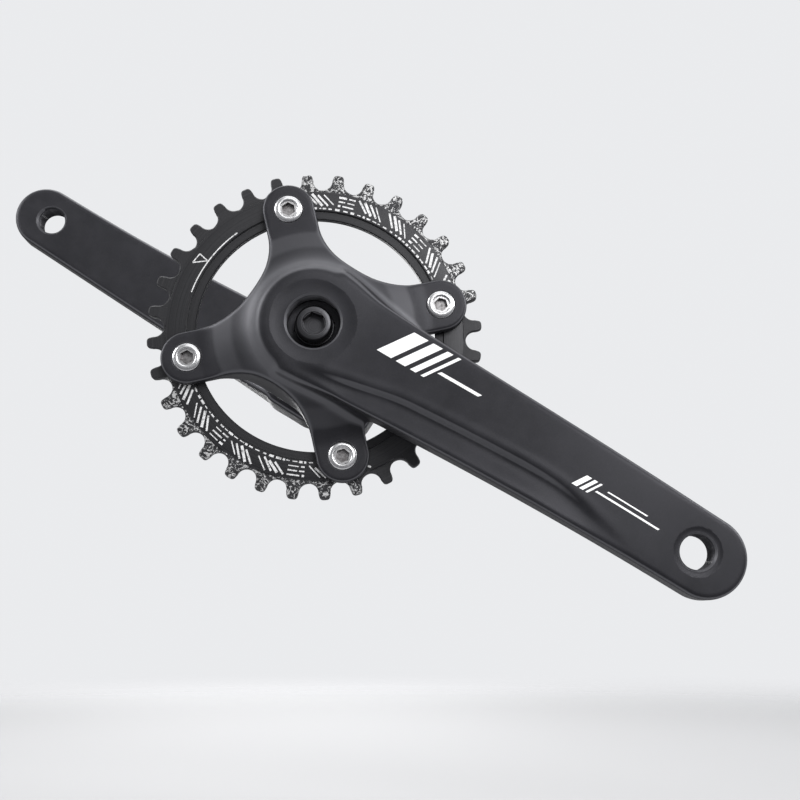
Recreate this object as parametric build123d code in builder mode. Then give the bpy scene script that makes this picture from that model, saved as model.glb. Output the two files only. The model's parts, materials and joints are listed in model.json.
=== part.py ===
from build123d import *
import os
from math import cos, radians, sin, tan

# Bicycle crankset with a square taper cartridge bottom bracket, in millimetres.
#
# Row frame: the spindle turns about Y, the drive (right) side is at -Y, +X points to the front of the
# bicycle and +Z up. The origin is on the spindle axis, midway between the faces of the frame's shell.
#
# Each crank is drawn in its own side frame: u runs along the arm from the spindle axis, v across the arm,
# and w along the spindle axis, outboard from the bicycle's centre plane.

# --- Driving dimensions -------------------------------------------------------------------------------
CRANK_LENGTH = 170.0  # spindle axis to pedal axis
REST_ANGLE = -32.0  # right arm at rest, from +X towards +Z
CHAIN_LINE = 50.0  # chainring's middle plane, from the centre plane of the bicycle

TEETH = 32
CHAIN_PITCH = 12.7
BOLT_CIRCLE_R = 52.0
SPIDER_ARMS = 4

SHELL_HALF = 34.0  # the frame's shell is 68 mm wide
SHELL_THREAD_R = 17.4  # crests of the cups' thread

# Crank stations along w
HUB_REAR = 46.0
RECESS_FLOOR = 62.0
HUB_FRONT = 72.5
PEDAL_REAR = 77.0
PEDAL_FRONT = 90.0

# Crank arm outline, in u and v
HUB_HALF_WIDTH = 22.0
BLADE_MID_U = 96.0
BLADE_MID_HALF_WIDTH = 17.6
PEDAL_HALF_WIDTH = 15.6
PEDAL_CAP_U = 174.0  # centre of the round end, just beyond the pedal axis
PEDAL_FLAT_U = 160.0  # from here outwards both faces are flat
HUB_FLAT_U = 15.0  # the hub's outboard face is flat up to here
HEEL_U = 21.0  # inboard, the arm leaves the hub here
BLADE_EDGE_R = 2.5

# Cove along the outboard face: the (u, v, w) course of a round bar that dips into the face
COVE_R = 9.0
RIGHT_COVE = ((18, -18, 81.6), (47, -10.4, 84.0), (75, -8.7, 89.0), (106, -7.6, 93.9), (142, -13, 98.8))
LEFT_COVE = ((12, -4, 81.6), (45, -8, 83.8), (72, -13, 88.2), (94, -24, 91.5))

# Right hub: a round boss. Left hub: a blunt end with two slanted corners.
BOSS_R = 19.5
BOSS_EDGE_R = 1.5
LEFT_END_U = -29.0
LEFT_END_HALF_WIDTH = 11.5
LEFT_CORNER_U = -7.2
LEFT_HUB_U = 15.0
LEFT_BEVEL = 2.5

# Square taper, extractor recess and pedal thread
TAPER_ANGLE = 2.0
TAPER_END_FLATS = 12.65  # spindle, across flats at its end
TAPER_CORNER_R = 1.2
TAPER_CLEARANCE = 0.02
EXTRACTOR_R = 10.6
PEDAL_THREAD_R = 6.6
PEDAL_MOUTH_DEPTH = 1.2

# Spider: flat tabs, and a web that dishes outboard to the hub
SPIDER_REAR = 52.0
TAB_FRONT = 57.0
DISH_R = 44.0
DISH_HEIGHT = 10.0
DISH_SLOPE = 60.0
REAR_DISH_R = 42.0
REAR_DISH_HEIGHT = 4.0
SCALLOP_DISTANCE = 59.5
SCALLOP_R = 31.5
TAB_HALF_WIDTH = SCALLOP_DISTANCE * sin(radians(45)) - SCALLOP_R

# Chainring
RING_THICKNESS = 4.0
WIDE_TOOTH = 3.8
NARROW_TOOTH = 2.2
PITCH_R = CHAIN_PITCH / (2 * sin(radians(180 / TEETH)))
TIP_R = PITCH_R + 3.1
TIP_ROUNDING = 1.5
GULLET_R = 4.0
GULLET_CENTRE_R = PITCH_R + 0.4
FLARE_LENGTH = 4.0
FLARE_HALF_WIDTH = 5.2
RING_BODY_R = 60.4
RING_INNER_R = 48.5
RING_LIP_R = 51.8
RING_LIP_DEPTH = 0.8
RING_PAD_R = 8.6
TOOTH_PHASE = 2.25  # first tooth, from the arm's centre line

# Chainring fasteners
BOLT_HEAD_R = 5.75
BOLT_HEAD_HEIGHT = 2.2
BOLT_SEAT_DEPTH = 1.5
BOLT_SOCKET_FLATS = 5.0
BOLT_SOCKET_DEPTH = 3.0
BOLT_SHANK_R = 4.0
NUT_SLEEVE_R = 5.0
NUT_FLANGE_R = 6.6
NUT_FLANGE_THICKNESS = 1.7
FASTENER_GAP = 0.05

# Spindle and crank bolts
SPINDLE_HALF = 59.0
SPINDLE_R = 8.5
TAPER_START = 38.0
CRANK_BOLT_R = 4.0
CRANK_BOLT_REACH = 24.0
CRANK_BOLT_HEAD_R = 7.4
CRANK_BOLT_HEAD_HEIGHT = 6.0
CRANK_BOLT_SOCKET_FLATS = 8.0
CRANK_BOLT_SOCKET_DEPTH = 4.5
WASHER_R = 7.9
WASHER_THICKNESS = 1.2

# Bearings, 17 x 30 x 7 mm
BEARING_CENTRE = 27.0
BEARING_HALF_WIDTH = 3.5
BEARING_OUTER_R = 15.0
INNER_SHOULDER_R = 10.4
OUTER_SHOULDER_R = 13.1
SEAL_SEAT_R = 13.35
SEAL_SEAT_START = 2.6
SEAL_THICKNESS = 0.5
BALL_R = 1.75
BALL_PITCH_R = 11.75
BALL_COUNT = 11
CAGE_HALF_WIDTH = 2.5
CAGE_HALF_THICKNESS = 0.7
RUNNING_GAP = 0.05
SEAT_GAP = 0.02

# Cartridge sleeve, dust seals and cups
SLEEVE_R = 16.3
SLEEVE_BORE_R = 13.8
SLEEVE_HALF = 33.4
DUST_SEAL_START = 30.9
DUST_SEAL_END = 33.0
DUST_SEAL_GAP = 0.1
CUP_START = 18.0
CUP_END = 36.5
CUP_FLANGE_R = {"right": 21.5, "left": 17.2}
CUP_NOTCHES = 20
CUP_NOTCH_WIDTH = 1.6
CUP_NOTCH_R = 16.9


# --- Frames -------------------------------------------------------------------------------------------
def side_frame(arm_angle, outboard):
    """Plane with x along the arm (u), y across it (v) and its normal outboard (w)."""
    along = (cos(radians(arm_angle)), 0, sin(radians(arm_angle)))
    return Plane(origin=(0, 0, 0), x_dir=along, z_dir=(0, outboard, 0))


def lengthwise(side):
    """Plane that holds u and w, through the middle of the arm."""
    return Plane(origin=(0, 0, 0), x_dir=side.x_dir, z_dir=-side.y_dir)


def polar(radius, angle, centre=(0, 0)):
    """Point at this distance and angle from a centre, in a side frame."""
    return (centre[0] + radius * cos(radians(angle)), centre[1] + radius * sin(radians(angle)))


RIGHT = side_frame(REST_ANGLE, -1)
LEFT = side_frame(REST_ANGLE + 180, 1)
HANDS = {"right": RIGHT, "left": LEFT}

os.makedirs("parts", exist_ok=True)


def finish(piece, name):
    """Labels a finished piece and writes its STEP file."""
    piece.part.label = name
    export_step(piece.part, f"parts/{name}.step")


# --- Crank arms ---------------------------------------------------------------------------------------
def blade_plan():
    """Outline of the arm from the spindle axis to the round end, waisted a little between them."""
    with BuildSketch() as plan:
        with BuildLine():
            upper = ThreePointArc(
                (0, HUB_HALF_WIDTH),
                (BLADE_MID_U, BLADE_MID_HALF_WIDTH),
                (PEDAL_CAP_U, PEDAL_HALF_WIDTH),
            )
            cap = CenterArc((PEDAL_CAP_U, 0), PEDAL_HALF_WIDTH, 90, -180)
            lower = ThreePointArc(
                cap @ 1, (BLADE_MID_U, -BLADE_MID_HALF_WIDTH), (0, -HUB_HALF_WIDTH)
            )
            Line(lower @ 1, upper @ 0)
        make_face()
    return plan.sketch


def blade_profile():
    """The arm seen edge on: it leaves the hub and sweeps outboard to the pedal eye."""
    end = PEDAL_CAP_U + PEDAL_HALF_WIDTH + 1
    with BuildSketch() as profile:
        with BuildLine():
            hub_corner = Polyline(
                (HUB_FLAT_U, HUB_FRONT), (0, HUB_FRONT), (0, HUB_REAR), (HEEL_U, HUB_REAR)
            )
            heel = Line(hub_corner @ 1, (40, 59))
            Bezier(heel @ 1, (75, 68), (110, PEDAL_REAR), (PEDAL_FLAT_U, PEDAL_REAR))
            Polyline(
                (PEDAL_FLAT_U, PEDAL_REAR),
                (end, PEDAL_REAR),
                (end, PEDAL_FRONT),
                (PEDAL_FLAT_U, PEDAL_FRONT),
            )
            Bezier(
                (PEDAL_FLAT_U, PEDAL_FRONT),
                (95, PEDAL_FRONT),
                (45, HUB_FRONT),
                (HUB_FLAT_U, HUB_FRONT),
            )
        make_face()
    return profile.sketch


def blade(side):
    """Forged arm: plan outline and edge-on profile crossed, with its long edges rounded."""
    with BuildPart() as forging:
        with BuildSketch(side):
            add(blade_plan())
        extrude(amount=PEDAL_FRONT)
        with BuildSketch(lengthwise(side)):
            add(blade_profile())
        extrude(amount=HUB_HALF_WIDTH, both=True, mode=Mode.INTERSECT)
        long_edges = forging.edges().filter_by(lambda edge: edge.length > 30)
        fillet(long_edges, BLADE_EDGE_R)
    return forging.part


def cut_cove(side, course):
    """Cuts a shallow cove into the part being built, under a round bar that follows a course."""
    with BuildLine(side) as axis:
        Spline(*course)
    with BuildSketch(Plane(origin=axis.line @ 0, z_dir=axis.line % 0)) as bar:
        Circle(COVE_R)
    sweep(bar.sketch, path=axis.line, mode=Mode.SUBTRACT)


def machine_hub_and_eye(side):
    """Cuts the features both arms share into the part being built: recess, taper hole, pedal eye."""
    taper_foot = HUB_REAR - 2
    flats = 2 * (taper_half_flats(taper_foot) + TAPER_CLEARANCE)
    with BuildSketch(side.offset(taper_foot)) as square:
        RectangleRounded(flats, flats, TAPER_CORNER_R)
    extrude(
        square.sketch,
        amount=RECESS_FLOOR - taper_foot + 1,
        taper=TAPER_ANGLE,
        mode=Mode.SUBTRACT,
    )
    with BuildSketch(side.offset(RECESS_FLOOR)) as recess:
        Circle(EXTRACTOR_R)
    extrude(recess.sketch, amount=HUB_FRONT, mode=Mode.SUBTRACT)

    with BuildSketch(side) as eye:
        with Locations((CRANK_LENGTH, 0)):
            Circle(PEDAL_THREAD_R)
    extrude(eye.sketch, amount=2 * PEDAL_FRONT, mode=Mode.SUBTRACT)
    for station, outwards in ((PEDAL_FRONT, 1), (PEDAL_REAR, -1)):
        with BuildSketch(side.offset(station - outwards * PEDAL_MOUTH_DEPTH)) as mouth:
            with Locations((CRANK_LENGTH, 0)):
                Circle(PEDAL_THREAD_R)
        extrude(
            mouth.sketch,
            amount=outwards * PEDAL_MOUTH_DEPTH,
            taper=-45,
            mode=Mode.SUBTRACT,
        )


def taper_half_flats(station):
    """Half the distance across the spindle's flats at a station along w."""
    return TAPER_END_FLATS / 2 + (SPINDLE_HALF - station) * tan(radians(TAPER_ANGLE))


def spider_outline():
    """Four tabs joined by scallops whose arcs run into the tabs' straight sides."""
    with BuildSketch() as outline:
        with BuildLine():
            for quarter in range(SPIDER_ARMS):
                turn = 90 * quarter
                tab = polar(BOLT_CIRCLE_R, turn + 45)
                next_tab = polar(BOLT_CIRCLE_R, turn + 135)
                tip = CenterArc(tab, TAB_HALF_WIDTH, turn - 45, 180)
                scallop = CenterArc(polar(SCALLOP_DISTANCE, turn + 90), SCALLOP_R, turn - 45, -90)
                Line(tip @ 1, scallop @ 0)
                Line(scallop @ 1, polar(TAB_HALF_WIDTH, turn + 45, next_tab))
        make_face()
    return outline.sketch


with BuildPart() as spider:
    with BuildSketch(RIGHT.offset(SPIDER_REAR)):
        Circle(BOLT_CIRCLE_R + 2 * TAB_HALF_WIDTH)
    extrude(amount=TAB_FRONT - SPIDER_REAR)
    with BuildSketch(RIGHT.offset(TAB_FRONT)):
        Circle(DISH_R)
    extrude(amount=DISH_HEIGHT, taper=DISH_SLOPE)
    with BuildSketch(RIGHT.offset(SPIDER_REAR)):
        Circle(REAR_DISH_R)
    extrude(amount=-REAR_DISH_HEIGHT, taper=DISH_SLOPE)
    with BuildSketch(RIGHT):
        add(spider_outline())
    extrude(amount=PEDAL_FRONT, mode=Mode.INTERSECT)

with BuildPart() as right_crank_arm:
    with BuildSketch(RIGHT.offset(HUB_REAR)):
        Circle(BOSS_R)
    extrude(amount=HUB_FRONT - HUB_REAR)
    add(spider)
    add(blade(RIGHT))
    cut_cove(RIGHT, RIGHT_COVE)
    machine_hub_and_eye(RIGHT)
    with BuildSketch(RIGHT.offset(HUB_REAR)):
        with PolarLocations(BOLT_CIRCLE_R, SPIDER_ARMS, start_angle=45):
            Circle(NUT_SLEEVE_R + FASTENER_GAP)
    extrude(amount=TAB_FRONT - HUB_REAR, mode=Mode.SUBTRACT)
    with BuildSketch(RIGHT.offset(TAB_FRONT - BOLT_SEAT_DEPTH)):
        with PolarLocations(BOLT_CIRCLE_R, SPIDER_ARMS, start_angle=45):
            Circle(BOLT_HEAD_R + FASTENER_GAP)
    extrude(amount=BOLT_SEAT_DEPTH, mode=Mode.SUBTRACT)
finish(right_crank_arm, "right_crank_arm")

with BuildPart() as left_hub:
    with BuildSketch(LEFT.offset(HUB_REAR)):
        with BuildLine():
            Polyline(
                (LEFT_END_U, -LEFT_END_HALF_WIDTH),
                (LEFT_CORNER_U, -HUB_HALF_WIDTH),
                (LEFT_HUB_U, -HUB_HALF_WIDTH),
                (LEFT_HUB_U, HUB_HALF_WIDTH),
                (LEFT_CORNER_U, HUB_HALF_WIDTH),
                (LEFT_END_U, LEFT_END_HALF_WIDTH),
                close=True,
            )
        make_face()
    extrude(amount=HUB_FRONT - HUB_REAR)
    outboard_edges = left_hub.faces().sort_by(Axis.Y)[-1].edges()
    chamfer(outboard_edges.sort_by(Axis(LEFT.origin, LEFT.x_dir))[:-1], LEFT_BEVEL)

with BuildPart() as left_crank_arm:
    add(left_hub)
    add(blade(LEFT))
    cut_cove(LEFT, LEFT_COVE)
    machine_hub_and_eye(LEFT)
finish(left_crank_arm, "left_crank_arm")


# --- Chainring ----------------------------------------------------------------------------------------
def toothed_disc():
    """Disc with a roller gullet between each pair of teeth and rounded tooth tips."""
    with BuildSketch() as disc:
        Circle(TIP_R)
        with PolarLocations(GULLET_CENTRE_R, TEETH, start_angle=TOOTH_PHASE + 180 / TEETH):
            Circle(GULLET_R, mode=Mode.SUBTRACT)
            Polygon(
                (0, -GULLET_R),
                (FLARE_LENGTH, -FLARE_HALF_WIDTH),
                (FLARE_LENGTH, FLARE_HALF_WIDTH),
                (0, GULLET_R),
                align=None,
                mode=Mode.SUBTRACT,
            )
        tips = disc.vertices().filter_by(lambda corner: corner.center().length > TIP_R - 0.1)
        fillet(tips, TIP_ROUNDING)
    return disc.sketch


def centred_plate(sketch, thickness):
    """Adds a sketch of the ring to the part being built, centred on the chain line."""
    with BuildSketch(RIGHT.offset(CHAIN_LINE - thickness / 2)) as plate:
        add(sketch)
    extrude(plate.sketch, amount=thickness)


teeth = toothed_disc()
with BuildSketch() as wide_teeth:
    with PolarLocations(RING_BODY_R, TEETH // 2, start_angle=TOOTH_PHASE):
        Rectangle(4 * GULLET_R, CHAIN_PITCH - 1)
    add(teeth, mode=Mode.INTERSECT)

with BuildPart() as chainring:
    centred_plate(teeth, NARROW_TOOTH)
    centred_plate(wide_teeth.sketch, WIDE_TOOTH)
    with BuildSketch(RIGHT.offset(CHAIN_LINE - RING_THICKNESS / 2)):
        Circle(RING_BODY_R)
    extrude(amount=RING_THICKNESS)
    with BuildSketch(RIGHT.offset(CHAIN_LINE - RING_THICKNESS)):
        Circle(RING_INNER_R)
        with PolarLocations(BOLT_CIRCLE_R, SPIDER_ARMS, start_angle=45):
            Circle(RING_PAD_R, mode=Mode.SUBTRACT)
    extrude(amount=2 * RING_THICKNESS, mode=Mode.SUBTRACT)
    with BuildSketch(RIGHT.offset(CHAIN_LINE + RING_THICKNESS / 2)):
        Circle(RING_LIP_R)
        with PolarLocations(BOLT_CIRCLE_R, SPIDER_ARMS, start_angle=45):
            Circle(TAB_HALF_WIDTH, mode=Mode.SUBTRACT)
    extrude(amount=-RING_LIP_DEPTH, mode=Mode.SUBTRACT)
    with BuildSketch(RIGHT.offset(CHAIN_LINE - RING_THICKNESS)):
        with PolarLocations(BOLT_CIRCLE_R, SPIDER_ARMS, start_angle=45):
            Circle(NUT_SLEEVE_R + FASTENER_GAP)
    extrude(amount=2 * RING_THICKNESS, mode=Mode.SUBTRACT)
    with BuildSketch(RIGHT.offset(CHAIN_LINE - RING_THICKNESS / 2)):
        with PolarLocations(BOLT_CIRCLE_R, SPIDER_ARMS, start_angle=45):
            Circle(NUT_FLANGE_R + FASTENER_GAP)
    extrude(amount=NUT_FLANGE_THICKNESS + FASTENER_GAP, mode=Mode.SUBTRACT)
finish(chainring, "chainring")

# The bolt's head sits in the spider tab; the sleeve nut passes through the ring from behind.
seat = TAB_FRONT - BOLT_SEAT_DEPTH
nut_back = CHAIN_LINE - RING_THICKNESS / 2
sleeve_end = seat - 2 * FASTENER_GAP

with BuildPart() as chainring_bolts:
    with BuildSketch(RIGHT.offset(seat)):
        with PolarLocations(BOLT_CIRCLE_R, SPIDER_ARMS, start_angle=45):
            Circle(BOLT_HEAD_R)
    extrude(amount=BOLT_HEAD_HEIGHT)
    with BuildSketch(RIGHT.offset(nut_back)):
        with PolarLocations(BOLT_CIRCLE_R, SPIDER_ARMS, start_angle=45):
            Circle(BOLT_SHANK_R)
    extrude(amount=seat - nut_back)
    with BuildSketch(RIGHT.offset(seat + BOLT_HEAD_HEIGHT - BOLT_SOCKET_DEPTH)):
        with PolarLocations(BOLT_CIRCLE_R, SPIDER_ARMS, start_angle=45):
            RegularPolygon(BOLT_SOCKET_FLATS / 2, 6, major_radius=False)
    extrude(amount=BOLT_SOCKET_DEPTH, mode=Mode.SUBTRACT)
finish(chainring_bolts, "chainring_bolts")

with BuildPart() as chainring_nuts:
    with BuildSketch(RIGHT.offset(nut_back)):
        with PolarLocations(BOLT_CIRCLE_R, SPIDER_ARMS, start_angle=45):
            Circle(NUT_SLEEVE_R)
            Circle(BOLT_SHANK_R + FASTENER_GAP, mode=Mode.SUBTRACT)
    extrude(amount=sleeve_end - nut_back)
    with BuildSketch(RIGHT.offset(nut_back)):
        with PolarLocations(BOLT_CIRCLE_R, SPIDER_ARMS, start_angle=45):
            Circle(NUT_FLANGE_R)
            Circle(BOLT_SHANK_R + FASTENER_GAP, mode=Mode.SUBTRACT)
    extrude(amount=NUT_FLANGE_THICKNESS)
finish(chainring_nuts, "chainring_nuts")

# --- Spindle ------------------------------------------------------------------------------------------
with BuildPart() as spindle:
    with BuildSketch(RIGHT):
        Circle(SPINDLE_R)
    extrude(amount=TAPER_START, both=True)
    for side in HANDS.values():
        flats = 2 * taper_half_flats(TAPER_START)
        with BuildSketch(side.offset(TAPER_START)):
            Rectangle(flats, flats)
        extrude(amount=SPINDLE_HALF - TAPER_START, taper=TAPER_ANGLE)
    with BuildSketch(RIGHT):
        Circle(SPINDLE_R)
    extrude(amount=SPINDLE_HALF, both=True, mode=Mode.INTERSECT)
    for side in HANDS.values():
        with BuildSketch(side.offset(TAPER_START)):
            Circle(CRANK_BOLT_R + FASTENER_GAP)
        extrude(amount=SPINDLE_HALF - TAPER_START, mode=Mode.SUBTRACT)
finish(spindle, "spindle")

# --- Pieces that come once on each side ---------------------------------------------------------------
for hand, side in HANDS.items():
    washer_face = RECESS_FLOOR + WASHER_THICKNESS
    head_face = washer_face + CRANK_BOLT_HEAD_HEIGHT

    with BuildPart() as crank_washer:
        with BuildSketch(side.offset(RECESS_FLOOR)):
            Circle(WASHER_R)
            Circle(CRANK_BOLT_R + FASTENER_GAP, mode=Mode.SUBTRACT)
        extrude(amount=WASHER_THICKNESS)
    finish(crank_washer, f"{hand}_crank_washer")

    with BuildPart() as crank_bolt:
        with BuildSketch(side.offset(washer_face)):
            Circle(CRANK_BOLT_HEAD_R)
        extrude(amount=CRANK_BOLT_HEAD_HEIGHT)
        with BuildSketch(side.offset(washer_face)):
            Circle(CRANK_BOLT_R)
        extrude(amount=-CRANK_BOLT_REACH)
        with BuildSketch(side.offset(head_face)):
            RegularPolygon(CRANK_BOLT_SOCKET_FLATS / 2, 6, major_radius=False)
        extrude(amount=-CRANK_BOLT_SOCKET_DEPTH, mode=Mode.SUBTRACT)
    finish(crank_bolt, f"{hand}_crank_bolt")

    with BuildPart() as inner_race:
        with BuildSketch(lengthwise(side)):
            with Locations(((SPINDLE_R + INNER_SHOULDER_R + SEAT_GAP) / 2, BEARING_CENTRE)):
                Rectangle(INNER_SHOULDER_R - SPINDLE_R - SEAT_GAP, 2 * BEARING_HALF_WIDTH)
            with Locations((BALL_PITCH_R, BEARING_CENTRE)):
                Circle(BALL_R + RUNNING_GAP, mode=Mode.SUBTRACT)
        revolve(axis=Axis.Y)
    finish(inner_race, f"{hand}_bearing_inner_race")

    with BuildPart() as outer_race:
        with BuildSketch(lengthwise(side)):
            with Locations(((OUTER_SHOULDER_R + BEARING_OUTER_R) / 2, BEARING_CENTRE)):
                Rectangle(BEARING_OUTER_R - OUTER_SHOULDER_R, 2 * BEARING_HALF_WIDTH)
            with Locations((BALL_PITCH_R, BEARING_CENTRE)):
                Circle(BALL_R + RUNNING_GAP, mode=Mode.SUBTRACT)
        revolve(axis=Axis.Y)
        for end in (-1, 1):
            with BuildSketch(side.offset(BEARING_CENTRE + end * SEAL_SEAT_START)):
                Circle(SEAL_SEAT_R)
            extrude(amount=end * BEARING_HALF_WIDTH, mode=Mode.SUBTRACT)
    finish(outer_race, f"{hand}_bearing_outer_race")

    with BuildPart() as seals:
        for start in (SEAL_SEAT_START, -SEAL_SEAT_START - SEAL_THICKNESS):
            with BuildSketch(side.offset(BEARING_CENTRE + start)):
                Circle(SEAL_SEAT_R)
                Circle(INNER_SHOULDER_R + RUNNING_GAP, mode=Mode.SUBTRACT)
            extrude(amount=SEAL_THICKNESS)
    finish(seals, f"{hand}_bearing_seals")

    with BuildPart(side.offset(BEARING_CENTRE)) as balls:
        with PolarLocations(BALL_PITCH_R, BALL_COUNT):
            Sphere(BALL_R)
    finish(balls, f"{hand}_bearing_balls")

    with BuildPart(side.offset(BEARING_CENTRE)) as cage:
        with BuildSketch(side.offset(BEARING_CENTRE)):
            Circle(BALL_PITCH_R + CAGE_HALF_THICKNESS)
            Circle(BALL_PITCH_R - CAGE_HALF_THICKNESS, mode=Mode.SUBTRACT)
        extrude(amount=CAGE_HALF_WIDTH, both=True)
        with PolarLocations(BALL_PITCH_R, BALL_COUNT):
            Cylinder(
                BALL_R + RUNNING_GAP,
                4 * CAGE_HALF_THICKNESS,
                rotation=(0, 90, 0),
                mode=Mode.SUBTRACT,
            )
    finish(cage, f"{hand}_bearing_cage")

    with BuildPart() as dust_seal:
        with BuildSketch(side.offset(DUST_SEAL_START)):
            Circle(BEARING_OUTER_R)
            Circle(SPINDLE_R + DUST_SEAL_GAP, mode=Mode.SUBTRACT)
        extrude(amount=DUST_SEAL_END - DUST_SEAL_START)
    finish(dust_seal, f"{hand}_dust_seal")

    with BuildPart() as cup:
        with BuildSketch(side.offset(CUP_START)):
            Circle(SHELL_THREAD_R)
        extrude(amount=SHELL_HALF - CUP_START)
        with BuildSketch(side.offset(SHELL_HALF)):
            Circle(CUP_FLANGE_R[hand])
        extrude(amount=CUP_END - SHELL_HALF)
        with BuildSketch(side.offset(CUP_START)):
            Circle(SLEEVE_R + FASTENER_GAP)
        extrude(amount=CUP_END - CUP_START, mode=Mode.SUBTRACT)
        with BuildSketch(side.offset(SHELL_HALF)):
            with PolarLocations(SLEEVE_R, CUP_NOTCHES):
                Rectangle(2 * (CUP_NOTCH_R - SLEEVE_R), CUP_NOTCH_WIDTH)
        extrude(amount=CUP_END - SHELL_HALF, mode=Mode.SUBTRACT)
    finish(cup, f"{hand}_cup")

# --- Cartridge sleeve ---------------------------------------------------------------------------------
with BuildPart() as cartridge_sleeve:
    with BuildSketch(RIGHT):
        Circle(SLEEVE_R)
        Circle(SLEEVE_BORE_R, mode=Mode.SUBTRACT)
    extrude(amount=SLEEVE_HALF, both=True)
    seat_start = BEARING_CENTRE - BEARING_HALF_WIDTH
    for side in HANDS.values():
        with BuildSketch(side.offset(seat_start)):
            Circle(BEARING_OUTER_R + SEAT_GAP)
        extrude(amount=SLEEVE_HALF - seat_start, mode=Mode.SUBTRACT)
finish(cartridge_sleeve, "cartridge_sleeve")
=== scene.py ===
import json
import math
import random

import bpy
import numpy as np
from mathutils import Euler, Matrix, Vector


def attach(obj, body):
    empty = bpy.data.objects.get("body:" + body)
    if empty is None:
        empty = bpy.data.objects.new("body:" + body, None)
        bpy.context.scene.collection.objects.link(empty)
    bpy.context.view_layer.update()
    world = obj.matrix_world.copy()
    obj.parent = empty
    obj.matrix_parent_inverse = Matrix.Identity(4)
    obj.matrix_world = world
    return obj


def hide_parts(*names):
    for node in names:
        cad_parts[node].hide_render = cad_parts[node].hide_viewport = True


# Looks of a bicycle crankset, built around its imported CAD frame.
#
# Shapes are written in millimetres in a side frame, as in the CAD: u runs along the crank arm from the
# spindle axis, v across it and w outboard along the spindle axis. Side.place turns them into row metres.

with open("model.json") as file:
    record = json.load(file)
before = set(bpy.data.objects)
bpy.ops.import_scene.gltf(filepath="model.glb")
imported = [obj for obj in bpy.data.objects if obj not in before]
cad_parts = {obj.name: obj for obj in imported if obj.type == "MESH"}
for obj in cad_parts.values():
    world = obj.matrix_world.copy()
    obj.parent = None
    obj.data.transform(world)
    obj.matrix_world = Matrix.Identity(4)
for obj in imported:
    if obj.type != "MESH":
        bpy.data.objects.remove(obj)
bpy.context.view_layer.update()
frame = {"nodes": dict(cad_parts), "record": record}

MM = 0.001
SPINDLE_BODY = "crank"
SHELL_BODY = "bottom_bracket"
MOUNTS = {mount["name"]: mount for mount in frame["record"]["mounts"]}

# --- Sizes, in millimetres ---
CRANK_LENGTH = 170.0
HUB_REAR = 46.0
RECESS_FLOOR = 62.0
HUB_FRONT = 72.5
PEDAL_REAR = 77.0
PEDAL_FRONT = 90.0
HUB_HALF_WIDTH = 22.0
WAIST_U, WAIST_HALF_WIDTH = 96.0, 17.6
CAP_U, CAP_R = 174.0, 15.6
HEEL_U = 21.0

BOSS_R = 19.5
SPOT_FACE_R, SPOT_FACE_DEPTH = 15.6, 0.6
EXTRACTOR_R = 10.6
PEDAL_THREAD_R = 6.6
PEDAL_SEAT_R, PEDAL_SEAT_DEPTH = 8.8, 0.35
TAPER_END_FLATS = 12.65
SPINDLE_HALF = 59.0
TAPER_SLOPE = math.tan(math.radians(2))

SPIDER_REAR = 52.0
TAB_FRONT = 57.0
BOLT_CIRCLE_R = 52.0
TAB_HALF_WIDTH = 10.57
SCALLOP_DISTANCE = 59.5
SCALLOP_R = 31.5
DISH_R, DISH_HEIGHT = 44.0, 10.0
REAR_DISH_R, REAR_DISH_HEIGHT = 42.0, 4.0
DISH_SLOPE = math.tan(math.radians(30))
TAB_ANGLES = (45, 135, 225, 315)

RING_REAR, RING_FRONT = 48.0, 52.0
RING_MID = (RING_REAR + RING_FRONT) / 2
TEETH = 32
CHAIN_PITCH = 12.7
PITCH_R = CHAIN_PITCH / (2 * math.sin(math.pi / TEETH))
TIP_R = PITCH_R + 3.1
TOOTH_PHASE = 2.25

RIGHT_GRID, LEFT_GRID = 0.62, 0.5  # cells of the grids that the arms are sculpted on


# --- Frames ---
class Side:
    """Side frame of one arm: its axes in the row frame, and millimetres to row metres."""

    def __init__(self, pedal_mount, outboard):
        x, _, z = MOUNTS[pedal_mount]["pos_m"]
        length = math.hypot(x, z)
        self.u = np.array((x / length, 0.0, z / length))
        self.w = np.array((0.0, outboard, 0.0))
        self.v = np.cross(self.w, self.u)

    def place(self, points):
        axes = np.array((self.u, self.v, self.w))
        return np.asarray(points, float) @ axes * MM


RIGHT = Side("right_pedal_thread", -1)
LEFT = Side("left_pedal_thread", 1)


def polar(radius, degrees):
    return radius * math.cos(math.radians(degrees)), radius * math.sin(math.radians(degrees))


TAB_PLACES = [polar(BOLT_CIRCLE_R, angle) for angle in TAB_ANGLES]


# --- Meshes ---
def make_object(name, points, faces):
    """Mesh object from row points in metres and lists of corner numbers."""
    mesh = bpy.data.meshes.new(name)
    mesh.from_pydata(np.asarray(points).tolist(), [], np.asarray(faces, dtype=object).tolist())
    mesh.validate()
    piece = bpy.data.objects.new(name, mesh)
    bpy.context.scene.collection.objects.link(piece)
    return piece


def loop_faces(loops, count, closed=True):
    """Quads between neighbouring loops of this many points, and from the last to the first if closed."""
    faces = []
    for i in range(loops if closed else loops - 1):
        a, b = i * count, (i + 1) % loops * count
        faces += [(a + j, a + (j + 1) % count, b + (j + 1) % count, b + j) for j in range(count)]
    return faces


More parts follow.
